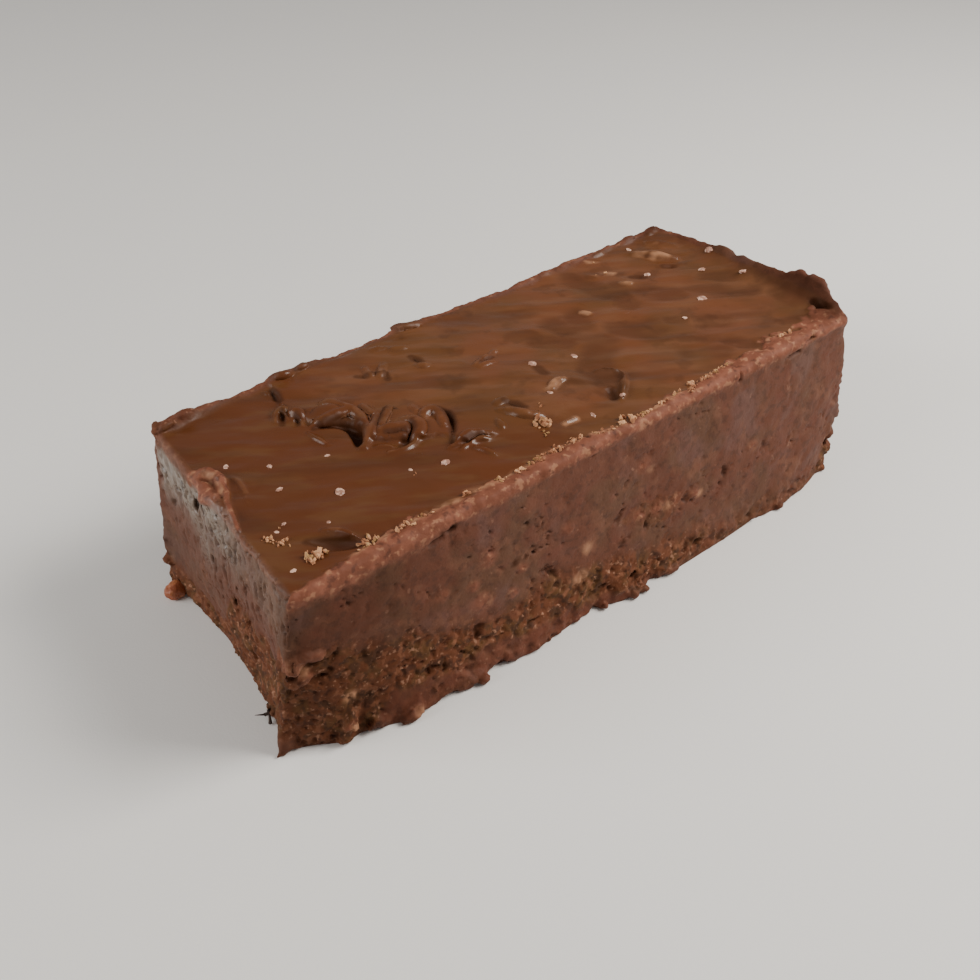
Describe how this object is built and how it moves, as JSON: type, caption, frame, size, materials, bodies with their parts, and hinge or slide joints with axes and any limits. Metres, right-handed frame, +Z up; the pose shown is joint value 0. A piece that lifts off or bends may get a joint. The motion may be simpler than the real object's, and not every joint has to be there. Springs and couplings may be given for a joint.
{
  "type": "chocolate fudge",
  "caption": "Hand-cut bar of chocolate fudge with a glossy poured top, a lip dragged over its edges and matte, pitted sides that crumble at the foot.",
  "frame": {"origin": "middle of the flat underside, in the plane the bar rests on", "axes": "+X along the bar, +Y across it towards the back, +Z up towards the glossy top"},
  "size_m": [0.1224, 0.0571, 0.0365],
  "materials": {
    "fudge": "chocolate fudge, glossy where the top was poured and matte where it was cut",
    "crumb": "dry tan crumbs and sugar grains lying on the top and its edges"
  },
  "bodies": {
    "root": {"fudge_bar": "fudge"}
  },
  "joints": []
}
